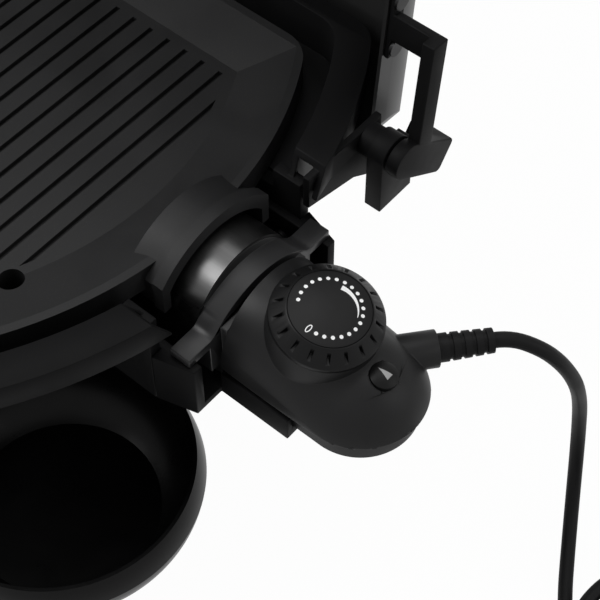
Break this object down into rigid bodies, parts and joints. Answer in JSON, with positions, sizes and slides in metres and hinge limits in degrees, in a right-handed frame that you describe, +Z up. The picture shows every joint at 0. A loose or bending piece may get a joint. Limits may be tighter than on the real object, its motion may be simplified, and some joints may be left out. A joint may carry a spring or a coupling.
{
  "type": "electric table grill",
  "caption": "Ridged electric table griddle in a black frame with a roll-top lid, plug-in control with knob and cord, and a grease bowl.",
  "frame": {"origin": "on the table, straight below the middle of the griddle", "axes": "+X to the control at the right-hand end, +Y to the back along the griddle's grooves, +Z up"},
  "size_m": [0.744, 0.3109, 0.4408],
  "materials": {
    "coated_casting": "black non-stick coating on cast aluminium",
    "black_plastic": "satin black heat-proof moulding",
    "control_plastic": "satin black moulding",
    "knob_plastic": "satin black moulding with white marks",
    "grip_plastic": "matt black grip",
    "lens_plastic": "smoked clear lens",
    "black_enamel": "gloss black enamel on sheet steel",
    "black_tube": "satin black powder coat",
    "bright_steel": "bright rolled sheet",
    "steel": "plain bright steel",
    "brass": "bare brass",
    "black_rubber": "soft matt rubber",
    "cord_rubber": "black flexible cord sheath",
    "tie_plastic": "black strap"
  },
  "bodies": {
    "base": {"base_frame": "black_plastic", "controller_cradle": "black_plastic", "cradle_screws": "steel", "reflector_pan": "bright_steel", "leg_frame_left": "black_tube", "leg_frame_right": "black_tube", "leg_screws": "steel", "rubber_feet": "black_rubber", "bowl_shelf": "black_tube", "shelf_screws": "steel", "hinge_clip_left": "black_plastic", "hinge_clip_right": "black_plastic", "hinge_pin_left": "steel", "hinge_pin_right": "steel", "griddle_plate": "coated_casting", "heating_element": "steel", "terminal_pins": "steel", "element_clips": "steel"},
    "lid": {"lid_shell": "black_enamel", "lid_handle_grip": "grip_plastic", "lid_handle_posts": "steel", "lid_handle_screws": "steel", "lid_arm_left": "black_plastic", "lid_arm_right": "black_plastic", "lid_arm_rivets": "steel"},
    "control": {"steel_sleeve": "bright_steel", "controller_flange": "black_plastic", "receptacles": "brass", "probe_rod": "steel", "controller_upper_shell": "control_plastic", "controller_lower_shell": "control_plastic", "shell_screws": "steel", "pointer_lens": "lens_plastic", "thermostat_block": "control_plastic", "strain_relief": "cord_rubber", "cord": "cord_rubber", "cord_coil": "cord_rubber", "coil_tie": "tie_plastic", "plug_body": "cord_rubber", "plug_pins": "brass"},
    "knob": {"control_knob": "knob_plastic", "knob_shaft": "steel"},
    "bowl": {"grease_bowl": "black_enamel"}
  },
  "joints": [
    {"name": "lid_hinge", "type": "hinge", "parent": "base", "child": "lid", "pos_m": [0, 0.087, 0.182], "axis": [1, 0, 0], "range_deg": [0, 95]},
    {"name": "control_slide", "type": "slide", "parent": "base", "child": "control", "axis": [1, 0, 0], "range_m": [0, 0.06]},
    {"name": "knob_turn", "type": "hinge", "parent": "control", "child": "knob", "pos_m": [0.2642, 0, 0.1747], "axis": [0.2079, 0, 0.9781], "range_deg": [-210, 91]},
    {"name": "bowl_slide", "type": "slide", "parent": "base", "child": "bowl", "axis": [0, -1, 0], "range_m": [0, 0.11]}
  ]
}
